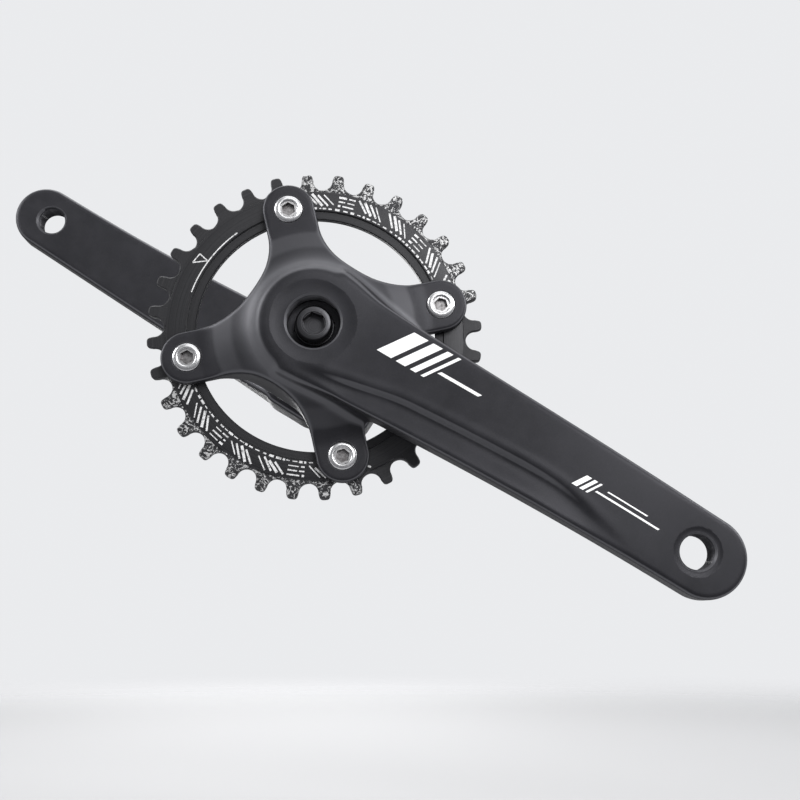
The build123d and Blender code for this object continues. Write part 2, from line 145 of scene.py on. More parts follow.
def lathe(profile, steps=96, thread=None):
    """Solid of revolution about w. The profile is a list of (radius, w) or (radius, w, 1) points, where
    the 1 lets the thread function move that ring of points. It closes on itself unless it starts and
    ends on the axis."""
    turn = np.linspace(0, 2 * math.pi, steps, endpoint=False)
    on_axis = profile[0][0] == 0
    rings = profile[1:-1] if on_axis else profile
    points = []
    for entry in rings:
        radius = np.full(steps, float(entry[0]))
        if thread and len(entry) > 2:
            radius = radius + thread(entry[1], turn)
        points.append(np.c_[radius * np.cos(turn), radius * np.sin(turn), np.full(steps, entry[1])])
    points = np.concatenate(points)
    faces = loop_faces(len(rings), steps, closed=not on_axis)
    if on_axis:
        start, final = len(points), len(points) - steps
        points = np.vstack((points, (0, 0, profile[0][1]), (0, 0, profile[-1][1])))
        faces += [(start, (j + 1) % steps, j) for j in range(steps)]
        faces += [(start + 1, final + j, final + (j + 1) % steps) for j in range(steps)]
    return points, faces


def outward(points, faces):
    """The same faces, turned so that the closed mesh encloses a positive volume."""
    volume = 0.0
    for face in faces:
        a = points[face[0]]
        for b, c in zip(face[1:-1], face[2:]):
            volume += np.dot(a, np.cross(points[b], points[c]))
    return faces if volume > 0 else [tuple(reversed(f)) for f in faces]


def prism(outline, low, high, shrink=0.0):
    """Straight or tapering prism along w over a closed outline of (u, v) points."""
    outline = np.asarray(outline, float)
    count = len(outline)
    top = outline * (1 - shrink)
    points = np.vstack((np.c_[outline, np.full(count, low)], np.c_[top, np.full(count, high)]))
    ends = [tuple(reversed(range(count))), tuple(range(count, 2 * count))]
    return points, ends + loop_faces(2, count, closed=False)


def regular(sides, flats, turn=0.0):
    """Corners of a regular polygon of this size across its flats."""
    radius = flats / 2 / math.cos(math.pi / sides)
    return [polar(radius, math.degrees(turn) + 360 * i / sides) for i in range(sides)]


def rounded_square(flats, corner, steps=6):
    """Outline of a square with rounded corners."""
    half = flats / 2 - corner
    outline = []
    for quarter, (cu, cv) in enumerate(((half, half), (-half, half), (-half, -half), (half, -half))):
        for i in range(steps + 1):
            du, dv = polar(corner, 90 * (quarter + i / steps))
            outline.append((cu + du, cv + dv))
    return outline


def screw_thread(pitch, depth, start, end, hand=1):
    """Function of station and angle: height of a V thread with rounded crests that runs out at its ends."""

    def height(station, turn):
        phase = station / pitch - hand * turn / (2 * math.pi)
        wave = 0.5 - 0.5 * np.cos(2 * math.pi * phase)
        runout = min(1.0, max(0.0, (station - start) / pitch), max(0.0, (end - station) / pitch))
        return depth * runout * wave ** 0.8

    return height


def thread_rows(radius, start, end, pitch):
    """Profile points close enough together to carry a thread."""
    count = int(round((end - start) / (pitch / 8)))
    return [(radius, start + (end - start) * i / count, 1) for i in range(count + 1)]


def solid(name, shape, side, u=0.0, v=0.0):
    """Object of a closed shape placed in a side frame."""
    points, faces = shape
    placed = side.place(points + np.array((u, v, 0)))
    return make_object(name, placed, outward(placed, faces))


def cut(base, shape, side, u=0.0, v=0.0):
    """Cuts a closed shape in a side frame out of a closed object."""
    cutter = solid("cutter", shape, side, u, v)
    modifier = base.modifiers.new("cut", "BOOLEAN")
    modifier.solver = "MANIFOLD"
    modifier.operation = "DIFFERENCE"
    modifier.object = cutter
    evaluated = base.evaluated_get(bpy.context.evaluated_depsgraph_get())
    result = bpy.data.meshes.new_from_object(evaluated)
    if len(result.vertices) == len(base.data.vertices):
        raise RuntimeError(f"a cutter left {base.name} as it was")
    base.modifiers.clear()
    base.data = result
    bpy.data.objects.remove(cutter)


def finish_piece(piece, material, body, replaced=(), degrees=32):
    """Shades a piece smooth up to edges of this angle, paints it and mounts it on its CAD body."""
    piece.data.shade_smooth()
    piece.data.set_sharp_from_angle(angle=math.radians(degrees))
    piece.data.materials.clear()
    piece.data.materials.append(material)
    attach(piece, body)
    if replaced:
        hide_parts(*replaced)
    return piece


# --- Sculpting from distance fields ---
def smax(a, b, k):
    """Maximum of two distances with a rounded edge about k wide."""
    h = np.clip(0.5 + 0.5 * (a - b) / k, 0, 1)
    return b * (1 - h) + a * h + k * h * (1 - h)


def smin(a, b, k):
    """Minimum of two distances with a fillet about k wide."""
    return -smax(-a, -b, k)


def ease(x, low, high):
    """0 below low, 1 above high and a smooth ramp between them."""
    t = np.clip((x - low) / (high - low), 0, 1)
    return t * t * (3 - 2 * t)


def surface_net(field, low, high, step):
    """Closed quad mesh on the zero level of a distance field, drawn onto that level exactly."""
    axes = [np.arange(a, b + step, step) for a, b in zip(low, high)]
    value = field(*np.meshgrid(*axes, indexing="ij"))
    inside = value < 0
    cell_ids, crossings, quads = [], [], []
    for axis in range(3):
        index = np.argwhere(np.diff(inside, axis=axis))
        ahead = np.eye(3, dtype=int)[axis]
        v0, v1 = value[tuple(index.T)], value[tuple((index + ahead).T)]
        point = index + ahead * (v0 / (v0 - v1))[:, None]
        corners = []
        for shift_b, shift_c in ((0, 0), (1, 0), (1, 1), (0, 1)):
            cell = index - shift_b * np.roll(ahead, 1) - shift_c * np.roll(ahead, 2)
            corners.append(np.ravel_multi_index(tuple(cell.T), value.shape))
        cell_ids += corners
        crossings += [point] * 4
        quad = np.stack(corners, 1)
        flip = v0 >= 0
        quad[flip] = quad[flip][:, ::-1]
        quads.append(quad)
    cell_ids, crossings, quads = map(np.concatenate, (cell_ids, crossings, quads))
    used, number = np.unique(cell_ids, return_inverse=True)
    count = np.bincount(number)[:, None]
    mean = np.stack([np.bincount(number, crossings[:, k]) for k in range(3)], 1) / count
    points = np.array(low) + step * mean
    faces = np.searchsorted(used, quads)
    for _ in range(4):
        points = drawn_to_surface(field, relaxed(points, faces), step)
    for _ in range(2):
        points = drawn_to_surface(field, points, step)
    return points, faces


def relaxed(points, faces):
    """Every point halfway to the mean of its neighbours, which evens out the facets."""
    near = faces.ravel()
    far = np.roll(faces, -1, axis=1).ravel()
    count = np.bincount(near)[:, None]
    mean = np.stack([np.bincount(near, points[far, k]) for k in range(3)], 1) / count
    return (points + mean) / 2


def drawn_to_surface(field, points, step, reach=0.02):
    """One Newton step of every point towards the zero level of the field."""
    distance = field(*points.T)
    gradient = np.empty_like(points)
    for k in range(3):
        offset = np.zeros(3)
        offset[k] = reach
        gradient[:, k] = (field(*(points + offset).T) - field(*(points - offset).T)) / (2 * reach)
    size = np.maximum((gradient ** 2).sum(1), 0.05)
    move = -(distance / size)[:, None] * gradient
    return points + np.clip(move, -0.4 * step, 0.4 * step)


def bezier(points, count=160):
    """Points along a cubic curve."""
    t = np.linspace(0, 1, count)[:, None]
    a, b, c, d = np.asarray(points, float)
    return a * (1 - t) ** 3 + 3 * b * t * (1 - t) ** 2 + 3 * c * t ** 2 * (1 - t) + d * t ** 3


def smoothed(values, width, **padding):
    """Values averaged over a bell of this odd number of them."""
    kernel = np.hanning(width + 2)[1:-1]
    padded = np.pad(values, width // 2, **padding)
    return np.convolve(padded, kernel / kernel.sum(), mode="valid")


def profile_curve(*parts, soften=0):
    """Even table of a height along u from pieces of curve, with its corners softened over this many steps."""
    joined = np.vstack(parts)
    table_u = np.arange(-60, 200.1, 0.5)
    table_w = np.interp(table_u, joined[:, 0], joined[:, 1])
    return table_u, smoothed(table_w, 2 * soften + 1, mode="edge")


FRONT = profile_curve(
    [(-60, HUB_FRONT)],
    bezier([(15, HUB_FRONT), (45, HUB_FRONT), (95, PEDAL_FRONT), (160, PEDAL_FRONT)]),
    [(200, PEDAL_FRONT)],
)
REAR = profile_curve(
    [(-60, HUB_REAR), (HEEL_U, HUB_REAR)],
    bezier([(40, 59), (75, 68), (110, PEDAL_REAR), (160, PEDAL_REAR)]),
    [(200, PEDAL_REAR)],
    soften=10,
)
WIDTH_CURVE = np.polyfit((0, WAIST_U, CAP_U), (HUB_HALF_WIDTH, WAIST_HALF_WIDTH, CAP_R), 2)


def course(table, u):
    """Height or offset read from a short list of (u, value) points through a smooth curve."""
    table = np.asarray(table, float)
    fine_u = np.linspace(table[0, 0], table[-1, 0], 400)
    fine = np.interp(fine_u, table[:, 0], table[:, 1])
    return np.interp(u, fine_u, smoothed(fine, 59, mode="reflect", reflect_type="odd"))


def blade_plan(u, v):
    """Distance to the arm's outline seen along the spindle, with a round end beyond the pedal axis."""
    across = np.abs(v) - np.polyval(WIDTH_CURVE, u)
    cap = np.hypot(np.maximum(u - CAP_U, 0), v) - CAP_R
    return np.where(u > CAP_U, cap, across)


# Right arm: the valley that runs along the outboard face below its middle
VALLEY = ((1, -20), (21, -16), (45, -10.6), (73, -8.8), (102, -7.5), (115, -7.7), (138, -12.6), (150, -15))
VALLEY_DEPTH = 2.2
VALLEY_UPPER_REACH = 3.6
VALLEY_LOWER_REACH = 9.0
RIDGE_OFFSET = 4.6
RIDGE_HEIGHT = 0.25


def right_front(u, v):
    """Outboard height of the right arm."""
    share = ease(u, 0, 30) * (1 - ease(u, 92, 152))
    side = v - course(VALLEY, u)
    reach = np.where(side > 0, VALLEY_UPPER_REACH, VALLEY_LOWER_REACH)
    dip = 0.5 + 0.5 * np.cos(math.pi * np.clip(np.abs(side) / reach, 0, 1))
    ridge = RIDGE_HEIGHT * np.exp(-(((side - RIDGE_OFFSET) / 1.6) ** 2))
    crown = 0.5 * (v / HUB_HALF_WIDTH) ** 4
    return np.interp(u, *FRONT) - VALLEY_DEPTH * share * dip + share * ridge - crown


def spider_outline(u, v):
    """Distance to the outline of four tabs joined by scallops."""
    a, b = np.abs(u), np.abs(v)
    scallops = SCALLOP_R - np.minimum(np.hypot(a - SCALLOP_DISTANCE, b), np.hypot(a, b - SCALLOP_DISTANCE))
    along, across = (a + b) / math.sqrt(2), (a - b) / math.sqrt(2)
    tab = np.hypot(np.maximum(along - BOLT_CIRCLE_R, 0), across) - TAB_HALF_WIDTH
    limit = np.minimum(tab, np.hypot(u, v) - REAR_DISH_R)
    return np.maximum(scallops, limit)


def right_field(u, v, w):
    """Distance field of the right arm: spider, hub boss and blade flowing into each other."""
    r = np.hypot(u, v)
    top = TAB_FRONT + smin(smax((DISH_R - r) * DISH_SLOPE, 0 * r, 2.5), DISH_HEIGHT + 0 * r, 4)
    foot = SPIDER_REAR - smin(smax((REAR_DISH_R - r) * DISH_SLOPE, 0 * r, 1.2), REAR_DISH_HEIGHT + 0 * r, 2)
    spider = smax(spider_outline(u, v), (w - top) * 0.88, 1.6)
    spider = smax(spider, (foot - w) * 0.9, 1.0)
    boss = smax(r - BOSS_R - 1.2 - 0.25 * (HUB_FRONT - w), HUB_REAR - w, 1.2)
    rear = (np.interp(u, *REAR) - w) * 0.85
    blade = smax(blade_plan(u, v), rear, 3.0)
    blade = smax(blade, -u, 2.0)
    body = smin(smin(spider, boss, 9), blade, 5)
    front = w - right_front(u, v)
    body = smax(smax(body, front, 2.4), HUB_REAR - w, 1.4)
    ring_space = smin(SPIDER_REAR - w, r - REAR_DISH_R - 0.5, 0.8)
    return smax(body, ring_space, 0.3)


# Left arm: a crease down to a lower facet, and a ridge above which the face falls to the upper edge
LEFT_CREASE = ((14, -2), (18, -3), (48, -7), (74, -11.4), (86, -18.6), (94, -25))
LEFT_STEP = 1.3
LEFT_RIDGE = ((8, 20.5), (30, 16), (50, 12.3), (58, 12), (128, 9.4), (165, 9))
LEFT_FALL = 0.24
LEFT_CORNERS = ((-29.0, 11.5), (-7.2, 22.0))
HUB_CHAMFER = 3.4


def left_front(u, v):
    """Outboard height of the left arm."""
    low = ease(course(LEFT_CREASE, u) - v, -0.4, 3.2)
    step = LEFT_STEP * low * ease(u, 12, 30) * (1 - ease(u, 82, 98))
    above = np.maximum(v - course(LEFT_RIDGE, u), 0)
    above = np.where(above < 1.5, above ** 2 / 3, above - 0.75)
    fall = LEFT_FALL * above * ease(u, 6, 26) * (1 - ease(u, 130, 162))
    lower_crown = 0.5 * (np.minimum(v, 0) / HUB_HALF_WIDTH) ** 4
    return np.interp(u, *FRONT) - step - fall - lower_crown * ease(u, 15, 40)


def left_hub_outline(u, v):
    """Distance to the blunt end of the left hub, with its two slanted corners rounded."""
    (end_u, end_v), (side_u, side_v) = LEFT_CORNERS
    run, rise = side_u - end_u, side_v - end_v
    length = math.hypot(run, rise)
    slant = (-(u - side_u) * rise + (np.abs(v) - side_v) * run) / length
    flat_end = end_u - u
    sides = np.abs(v) - side_v
    return smax(smax(slant, flat_end, 4.5), sides, 5.5)


def left_field(u, v, w):
    """Distance field of the left arm: blunt hub end and blade in one piece."""
    hub = smax(left_hub_outline(u, v), u - 18, 2)
    blade = smax(blade_plan(u, v), -u, 2)
    plan = smin(hub, blade, 4)
    plan = smax(plan, np.abs(v) - HUB_HALF_WIDTH, 1.0)
    rear = (np.interp(u, *REAR) - w) * 0.85
    front = w - left_front(u, v)
    body = smax(smax(plan, rear, 3.0), front, 2.0)
    leg = HUB_CHAMFER - (HUB_CHAMFER + 1) * ease(u, 4, 24)
    bevel = (plan + front + leg) / math.sqrt(2)
    return smax(body, bevel, 0.7)


# --- Machined features ---
def extractor_recess():
    """Cutter: threaded recess with a bevelled mouth inside a shallow spot face."""
    pitch, depth = 1.0, 0.45
    floor, mouth = RECESS_FLOOR, HUB_FRONT - SPOT_FACE_DEPTH
    thread = screw_thread(pitch, depth, floor + 1.2, mouth - 0.7)
    profile = [(0, floor), (EXTRACTOR_R - 0.5, floor), (EXTRACTOR_R, floor + 0.4)]
    profile += thread_rows(EXTRACTOR_R, floor + 0.9, mouth - 0.9, pitch)
    profile += [
        (EXTRACTOR_R, mouth - 0.8),
        (EXTRACTOR_R + 0.8, mouth),
        (SPOT_FACE_R, mouth),
        (SPOT_FACE_R + 1.4, HUB_FRONT + 0.02),
        (SPOT_FACE_R + 1.5, HUB_FRONT + 8),
        (0, HUB_FRONT + 8),
    ]
    return lathe(profile, 128, thread)


def taper_hole():
    """Cutter: tapering square hole with rounded corners."""
    low, high = HUB_REAR - 3, RECESS_FLOOR + 0.5
    flats = TAPER_END_FLATS + 2 * (SPINDLE_HALF - low) * TAPER_SLOPE + 0.04
    end_flats = TAPER_END_FLATS + 2 * (SPINDLE_HALF - high) * TAPER_SLOPE + 0.04
    return prism(rounded_square(flats, 1.2), low, high, 1 - end_flats / flats)


def pedal_hole(hand):
    """Cutter: threaded through hole with bevelled mouths and a shallow seat on the outboard face."""
    pitch, depth, mouth = 1.27, 0.5, 1.2
    thread = screw_thread(pitch, depth, PEDAL_REAR + 0.9, PEDAL_FRONT - 0.9, hand)
    rim = PEDAL_THREAD_R + mouth
    profile = [(0, PEDAL_REAR - 2), (rim, PEDAL_REAR - 2), (rim, PEDAL_REAR)]
    profile += thread_rows(PEDAL_THREAD_R, PEDAL_REAR + mouth, PEDAL_FRONT - mouth, pitch)
    seat = PEDAL_FRONT - PEDAL_SEAT_DEPTH
    profile += [
        (rim - PEDAL_SEAT_DEPTH, seat), (PEDAL_SEAT_R, seat), (PEDAL_SEAT_R + 0.5, PEDAL_FRONT + 0.01),
        (PEDAL_SEAT_R + 0.5, PEDAL_FRONT + 2), (0, PEDAL_FRONT + 2),
    ]
    return lathe(profile, 96, thread)


def rear_face():
    """Cutter: turned relief around the mouth of the square hole on the hub's inboard face."""
    return lathe([(0, HUB_REAR - 2), (10.6, HUB_REAR - 2), (10.6, HUB_REAR + 0.2), (9.8, HUB_REAR + 0.5),
                  (0, HUB_REAR + 0.5)], 96)


def tab_hole():
    """Cutter: bolt hole through a spider tab with its seat on the outboard face."""
    return lathe([
        (0, SPIDER_REAR - 1), (5.35, SPIDER_REAR - 1), (5.35, SPIDER_REAR), (5.05, SPIDER_REAR + 0.3),
        (5.05, TAB_FRONT - 1.5), (5.8, TAB_FRONT - 1.5), (5.8, TAB_FRONT - 0.35), (6.15, TAB_FRONT),
        (6.15, TAB_FRONT + 3), (0, TAB_FRONT + 3),
    ], 72)


def sculpted_arm(name, field, low, high, step, side, hand):
    """Arm blank from its distance field, with the hub and pedal eye machined."""
    points, faces = surface_net(field, low, high, step)
    placed = side.place(points)
    arm = make_object(name, placed, faces)
    for shape in (extractor_recess(), taper_hole(), rear_face()):
        cut(arm, shape, side)
    cut(arm, pedal_hole(hand), side, u=CRANK_LENGTH)
    return arm


def right_arm():
    low, high = (-50, -50, 44), (191.5, 50, 92)
    arm = sculpted_arm("right_arm_forging", right_field, low, high, RIGHT_GRID, RIGHT, 1)
    for u, v in TAB_PLACES:
        cut(arm, tab_hole(), RIGHT, u, v)
    return arm


def left_arm():
    low, high = (-31, -24, 44), (191.5, 24, 92)
    return sculpted_arm("left_arm_forging", left_field, low, high, LEFT_GRID, LEFT, -1)


# --- Printed stripes ---
PRINT_HEIGHT = 0.035


def draped_plate(corners, front, steps=(6, 24)):
    """Thin closed plate that follows the outboard face of an arm, over four (u, v) corners."""
    a, b, c, d = (np.array(p, float) for p in corners)
    s, t = np.meshgrid(*(np.linspace(0, 1, count + 1) for count in steps), indexing="ij")
    s, t = s.reshape(-1, 1), t.reshape(-1, 1)
    top = (a * (1 - s) + b * s) * (1 - t) + (d * (1 - s) + c * s) * t
    height = front(top[:, 0], top[:, 1])
    points = np.vstack((np.c_[top, height + PRINT_HEIGHT], np.c_[top, height - PRINT_HEIGHT * 2]))
    grid = np.arange(len(top)).reshape(steps[0] + 1, steps[1] + 1)
    quads = np.stack((grid[:-1, :-1], grid[1:, :-1], grid[1:, 1:], grid[:-1, 1:]), -1).reshape(-1, 4)
    rim = np.concatenate((grid[:-1, 0], grid[-1, :-1], grid[:0:-1, -1], grid[0, :0:-1]))
    after = np.roll(rim, -1)
    sides = np.stack((after, rim, len(top) + rim, len(top) + after), 1)
    return points, np.vstack((quads, len(top) + quads[:, ::-1], sides)).tolist()


def joined(shapes):
    """Several shapes as one list of points and faces."""
    points, faces, count = [], [], 0
    for shape_points, shape_faces in shapes:
        points.append(np.asarray(shape_points, float))
        faces += [tuple(count + k for k in f) for f in shape_faces]
        count += len(shape_points)
    return np.concatenate(points), faces


def slanted_bar(u, v_low, v_high, width, lean, front):
    """Printed bar whose upper end leans by an amount along the arm."""
    corners = ((u, v_low), (u + width, v_low), (u + width + lean, v_high), (u + lean, v_high))
    return draped_plate(corners, front)


def stripe_group(front, start, low, high, widths, gap, lean):
    """Row of slanted bars of different widths with equal gaps."""
    bars, u = [], start
    for width in widths:
        bars.append(slanted_bar(u, low, high, width, lean, front))
        u += width + gap
    return bars


def arm_print(front, start, v, lean, line, small_v, small_line):
    """Stripes on one arm: a large group near the hub with a line, and a small one with two lines."""
    bars = stripe_group(front, start, *v, (6.5, 4.2, 2.6, 1.4), 2.2, lean)
    bars.append(slanted_bar(line[0], line[1], line[1] + 1.2, 18, 1.2, front))
    bars += stripe_group(front, 117, *small_v, (2.2, 1.5, 0.9), 1.1, 3.4)
    bars.append(slanted_bar(126, small_line, small_line + 0.7, 27, 0.5, front))
    bars.append(slanted_bar(130, small_line + 2.2, small_line + 2.7, 17, 0.4, front))
    return joined(bars)


# --- Chainring ---
GULLET_R = 4.0
GULLET_CENTRE_R = PITCH_R + 0.4
FLARE_LENGTH, FLARE_HALF_WIDTH = 4.0, 5.2
TIP_ROUNDING = 1.5
TIP_FLAT_HALF_ANGLE = math.radians(0.35)
RING_BODY_R = 60.2
RING_INNER_R = 48.5
RING_LIP_R = 51.8
RING_LIP_DEPTH = 0.8
RING_EDGE = 0.35
RING_PAD_R = 8.6
WIDE_TOOTH, NARROW_TOOTH = 3.8, 2.2
TOOTH_BEVEL = 0.45


def tooth_side():
    """Half of one gullet and the flank beside it, as (across, radial) points from the gullet's middle."""
    points = [
        (GULLET_R * math.sin(a), GULLET_CENTRE_R - GULLET_R * math.cos(a))
        for a in np.linspace(0, math.pi / 2, 10)
    ]
    slope = (FLARE_HALF_WIDTH - GULLET_R) / FLARE_LENGTH

    def flank(radial):
        return GULLET_R + slope * (radial - GULLET_CENTRE_R), radial

    points += [flank(GULLET_CENTRE_R + rise) for rise in (0.6, 0.9, 1.2)]
    end_angle = math.pi / TEETH - TIP_FLAT_HALF_ANGLE
    end = (TIP_R * math.sin(end_angle), TIP_R * math.cos(end_angle))
    start, corner = flank(TIP_R - TIP_ROUNDING), flank(TIP_R - 0.1)
    for t in np.linspace(0, 1, 6):
        tip = [a * (1 - t) ** 2 + 2 * b * t * (1 - t) + c * t ** 2 for a, b, c in zip(start, corner, end)]
        points.append(tip)
    return points


def ring_outline():
    """Whole toothed outline as polar angles and radii, and the share of wide tooth at each point."""
    half = [(math.atan2(x, y), math.hypot(x, y)) for x, y in tooth_side()]
    points = []
    for tooth in range(TEETH):
        middle = math.radians(TOOTH_PHASE) + (tooth - 0.5) * 2 * math.pi / TEETH
        is_wide = tooth % 2 == 0
        points += [(middle - a, radius, float(not is_wide)) for a, radius in reversed(half) if a > 0]
        points += [(middle + a, radius, float(is_wide) if a else 0.5) for a, radius in half]
    return np.array(points).T


def inner_radius(angles, base):
    """Inner edge of the ring, bulging inwards at the four bolt pads."""
    radius = np.full(len(angles), float(base))
    for tab in TAB_ANGLES:
        away = np.angle(np.exp(1j * (angles - math.radians(tab))))
        chord = RING_PAD_R ** 2 - (BOLT_CIRCLE_R * np.sin(away)) ** 2
        near = (chord > 0) & (np.cos(away) > 0)
        pad = BOLT_CIRCLE_R * np.cos(away) - np.sqrt(np.maximum(chord, 0))
        radius = np.where(near, np.minimum(radius, pad), radius)
    return radius


def chainring_mesh():
    """Narrow-wide ring from nested loops: bevelled teeth, raised body, stepped inner lip."""
    angles, radii, wide = ring_outline()
    count = len(angles)

    def circle(radius):
        return np.c_[radius * np.cos(angles), radius * np.sin(angles)]

    outline = circle(radii)
    tangent = np.roll(outline, -1, axis=0) - np.roll(outline, 1, axis=0)
    tangent /= np.linalg.norm(tangent, axis=1)[:, None]
    bevelled = outline + np.c_[-tangent[:, 1], tangent[:, 0]] * TOOTH_BEVEL
    tooth = (NARROW_TOOTH + (WIDE_TOOTH - NARROW_TOOTH) * wide) / 2
    half = (RING_FRONT - RING_REAR) / 2
    lip = half - RING_LIP_DEPTH
    foot, shoulder, rim = (circle(RING_BODY_R + step) for step in (0.3, -0.1, -0.5))
    lip_r, inner = inner_radius(angles, RING_LIP_R), inner_radius(angles, RING_INNER_R)
    loops = (
        (outline, TOOTH_BEVEL - tooth), (outline, tooth - TOOTH_BEVEL), (bevelled, tooth), (foot, tooth),
        (shoulder, half - 0.12), (rim, half), (circle(lip_r + 0.45), half),
        (circle(lip_r + 0.1), half - 0.25), (circle(lip_r), lip), (circle(inner + RING_EDGE), lip),
        (circle(inner), lip - RING_EDGE), (circle(inner), RING_EDGE - half),
        (circle(inner + RING_EDGE), -half), (rim, -half), (shoulder, 0.12 - half), (foot, -tooth),
        (bevelled, -tooth),
    )
    points = [np.c_[flat, RING_MID + height * np.ones(count)] for flat, height in loops]
    return np.vstack(points), loop_faces(len(loops), count)


def nut_seat():
    """Cutter: sleeve hole through the ring with the nut flange's seat on the inboard face."""
    return lathe([
        (0, RING_REAR - 1), (6.65, RING_REAR - 1), (6.65, RING_REAR + 1.75), (5.05, RING_REAR + 1.75),
        (5.05, RING_FRONT + 1), (0, RING_FRONT + 1),
    ], 72)


def chainring():
    ring = solid("chainring_toothed", chainring_mesh(), RIGHT)
    for u, v in TAB_PLACES:
        cut(ring, nut_seat(), RIGHT, u, v)
    return ring


# Etched marks on the ring: sectors of hatching, in side frame angles
ETCHED_SECTORS = ((46, 128), (231, 318))
ETCH_LEVELS = (RING_FRONT - 0.02, RING_FRONT + 0.02)


def etched_bar(start_angle, end_angle, inner, outer, width):
    """Flat bar on the ring's face from an inner to an outer radius, leaning between two angles."""
    a, b = np.array(polar(inner, start_angle)), np.array(polar(outer, end_angle))
    along = (b - a) / np.linalg.norm(b - a)
    across = np.array((-along[1], along[0])) * width / 2
    return prism([a - across, b - across, b + across, a + across], *ETCH_LEVELS)


def etched_arc(start_angle, end_angle, radius, width):
    """Thin line along the ring."""
    count = max(2, int(abs(end_angle - start_angle) / 2))
    angles = np.linspace(start_angle, end_angle, count + 1)
    outer = [polar(radius + width / 2, a) for a in angles]
    inner = [polar(radius - width / 2, a) for a in angles]
    pieces = zip(inner, outer, outer[1:], inner[1:])
    return [prism(outline, *ETCH_LEVELS) for outline in pieces]


def etched_outline(corners, width):
    """Closed line through (radius, angle) corners."""
    pairs = zip(corners, corners[1:] + corners[:1])
    return [etched_bar(a0, a1, r0, r1, width) for (r0, a0), (r1, a1) in pairs]


def ring_etching():
    """Generic hatching: groups of leaning bars, dashes along the inner edge, a line and a triangle."""
    pick = random.Random(7)
    shapes = []
    for start, end in ETCHED_SECTORS:
        angle = start
        group = 0
        while angle < end - 4:
            if group % 3 == 2:
                for row in (54.9, 56.7, 58.5):
                    sweep = pick.uniform(2.5, 5.0)
                    shapes += etched_arc(angle, angle + sweep, row, pick.choice((0.4, 0.6)))
                    shapes += etched_arc(angle + sweep + 0.9, angle + 6.8, row, pick.choice((0.6, 0.9)))
                angle += 8.6
            else:
                for bar in range(4):
                    inner = 54.0 + pick.uniform(0.0, 1.1)
                    outer = 59.6 - pick.uniform(0.0, 0.9)
                    width = (0.5, 0.8, 1.1, 0.8)[bar]
                    shapes.append(etched_bar(angle, angle + 4.4, inner, outer, width))
                    angle += 2.4
                angle += 3.4
            group += 1
        angle = start + 1
        while angle < end - 2:
            sweep = pick.uniform(0.8, 2.4)
            shapes += etched_arc(angle, angle + sweep, 53.0, pick.choice((0.4, 0.6, 0.9)))
            angle += sweep + pick.uniform(0.5, 1.8)
    shapes += etched_arc(160, 194, 53.0, 0.45)
    shapes += etched_outline([(53.3, 178.2), (58.0, 182.2), (57.6, 177.6)], 0.45)
    return joined(shapes)


# --- Fasteners ---
def chainring_bolts():
    """Four bright bolts with a domed flange, a sunk middle and a hex socket."""
    seat, top = TAB_FRONT - 1.5, TAB_FRONT - 1.5 + 2.2
    profile = [
        (0, seat - 5.0), (4.0, seat - 5.0), (4.0, seat), (5.75, seat), (5.75, top - 0.95), (5.66, top - 0.72),
        (5.45, top - 0.48), (5.1, top - 0.25), (4.7, top - 0.1), (4.3, top - 0.02), (4.0, top),
        (3.72, top - 0.08), (3.5, top - 0.3), (3.4, top - 0.75), (0, top - 0.75),
    ]
    bolts = []
    for number, (u, v) in enumerate(TAB_PLACES):
        bolt = solid(f"ring_bolt_{number + 1}", lathe(profile, 96), RIGHT, u, v)
        socket = prism(regular(6, 5.0, 0.3 + 0.9 * number), seat - 0.8, top + 1)
        cut(bolt, socket, RIGHT, u, v)
        bolts.append(bolt)
    return bolts


def chainring_nuts():
    """Four sleeve nuts with a slotted flange on the inboard face of the ring."""
    rear = RING_REAR
    profile = [
        (0, rear + 0.1), (6.2, rear + 0.02), (6.6, rear + 0.35), (6.6, rear + 1.7), (5.0, rear + 1.7),
        (5.0, TAB_FRONT - 2.4), (4.7, TAB_FRONT - 2.1), (0, TAB_FRONT - 2.1),
    ]
    nuts = []
    for number, (u, v) in enumerate(TAB_PLACES):
        nut = solid(f"ring_nut_{number + 1}", lathe(profile, 72), RIGHT, u, v)
        bore = lathe([(0, rear + 0.9), (4.05, rear + 0.9), (4.05, TAB_FRONT), (0, TAB_FRONT)], 48)
        cut(nut, bore, RIGHT, u, v)
        slot = prism([(-7.5, -1.1), (7.5, -1.1), (7.5, 1.1), (-7.5, 1.1)], rear - 1, rear + 0.75)
        cut(nut, slot, RIGHT, u, v)
        nuts.append(nut)
    return nuts


def crank_bolt(side, name):
    """Socket head bolt with a knurled head, down in the extractor recess."""
    low, top = 63.2, 69.2
    reach = 24.0

    def knurl(_, turn):
        return 0.12 * np.cos(48 * turn)

    profile = [(0, low - reach), (3.6, low - reach), (4.0, low - reach + 0.5), (4.0, low), (7.0, low),
               (7.25, low + 0.3, 1), (7.25, top - 1.0, 1), (7.2, top - 0.7), (6.7, top - 0.15), (6.4, top),
               (0, top)]
    bolt = solid(name, lathe(profile, 192, knurl), side)
    cut(bolt, prism(regular(6, 8.0, 0.2), top - 4.5, top + 1), side)
    cone = lathe([(0, top - 0.55), (4.4, top - 0.35), (5.05, top + 0.4), (0, top + 0.4)], 72)
    cut(bolt, cone, side)
    return bolt


def crank_washer(side, name):
    """Flat washer with softened rims under the crank bolt."""
    low, high, inner, outer, edge = 62.0, 63.2, 4.2, 7.9, 0.25
    profile = [
        (inner, low + edge), (inner + edge, low), (outer - edge, low), (outer, low + edge),
        (outer, high - edge), (outer - edge, high), (inner + edge, high), (inner, high - edge),
    ]
    return solid(name, lathe(profile, 96), side)


CUP_FLANGE_R = {"right": 21.5, "left": 17.2}
CUP_NOTCHES = 20


